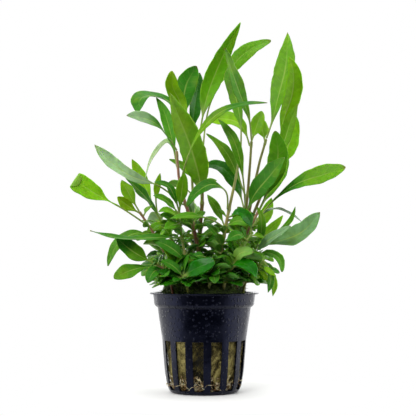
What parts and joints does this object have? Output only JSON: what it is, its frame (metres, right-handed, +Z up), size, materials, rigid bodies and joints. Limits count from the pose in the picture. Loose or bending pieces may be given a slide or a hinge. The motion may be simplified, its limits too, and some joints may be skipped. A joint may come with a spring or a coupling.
{
  "type": "potted aquarium plant",
  "caption": "Upright bushy stem plant with narrow green leaves, rooted in a mineral wool plug with moss on top, in a slotted black nursery pot.",
  "frame": {"origin": "under the middle of the pot's base, on the surface that the pot stands on", "axes": "+Z up, along the plant; -Y towards the plant's best side, +X to the right of it"},
  "size_m": [0.1356, 0.0711, 0.186],
  "materials": {
    "black_polypropylene": "gloss",
    "mineral_wool": "matte",
    "moss": "matte",
    "stalk_tissue": "satin",
    "leaf_tissue": "satin"
  },
  "bodies": {
    "root": {"leaf_arch_centre": "leaf_tissue", "leaf_arch_right": "leaf_tissue", "leaf_behind_centre": "leaf_tissue", "leaf_broad_centre": "leaf_tissue", "leaf_broad_right": "leaf_tissue", "leaf_centre_behind": "leaf_tissue", "leaf_centre_front": "leaf_tissue", "leaf_cupped_top": "leaf_tissue", "leaf_curl_left": "leaf_tissue", "leaf_dark_arch": "leaf_tissue", "leaf_dark_left": "leaf_tissue", "leaf_dark_top": "leaf_tissue", "leaf_drooping_left": "leaf_tissue", "leaf_flat_left": "leaf_tissue", "leaf_folded_left": "leaf_tissue", "leaf_grey_inner": "leaf_tissue", "leaf_grey_right": "leaf_tissue", "leaf_hook_left": "leaf_tissue", "leaf_lime_behind": "leaf_tissue", "leaf_lime_left": "leaf_tissue", "leaf_lime_top": "leaf_tissue", "leaf_lobe_right": "leaf_tissue", "leaf_long_centre": "leaf_tissue", "leaf_long_right": "leaf_tissue", "leaf_low_left": "leaf_tissue", "leaf_mid_left": "leaf_tissue", "leaf_paddle_left": "leaf_tissue", "leaf_pale_left": "leaf_tissue", "leaf_round_right": "leaf_tissue", "leaf_sash": "leaf_tissue", "leaf_spear": "leaf_tissue", "leaf_strap_centre": "leaf_tissue", "leaf_tall_right": "leaf_tissue", "leaf_tall_right_front": "leaf_tissue", "leaf_tall_right_low": "leaf_tissue", "leaf_thread_left": "leaf_tissue", "leaf_upper_right": "leaf_tissue", "leaf_wing_right": "leaf_tissue", "moss_mat": "moss", "pot": "black_polypropylene", "shoot_back_left": "stalk_tissue", "shoot_back_right": "stalk_tissue", "shoot_front_left": "stalk_tissue", "shoot_front_mid": "stalk_tissue", "shoot_front_right": "stalk_tissue", "shoot_left": "stalk_tissue", "shoot_right": "stalk_tissue", "shoot_right_trailing": "stalk_tissue", "stem_back_left": "stalk_tissue", "stem_centre": "stalk_tissue", "stem_centre_right": "stalk_tissue", "stem_left_inner": "stalk_tissue", "stem_left_outer": "stalk_tissue", "stem_left_pale": "stalk_tissue", "stem_left_upright": "stalk_tissue", "stem_right_back": "stalk_tissue", "stem_right_inner": "stalk_tissue", "stem_right_low": "stalk_tissue", "stem_right_tall": "stalk_tissue", "wool_plug": "mineral_wool"}
  },
  "joints": []
}
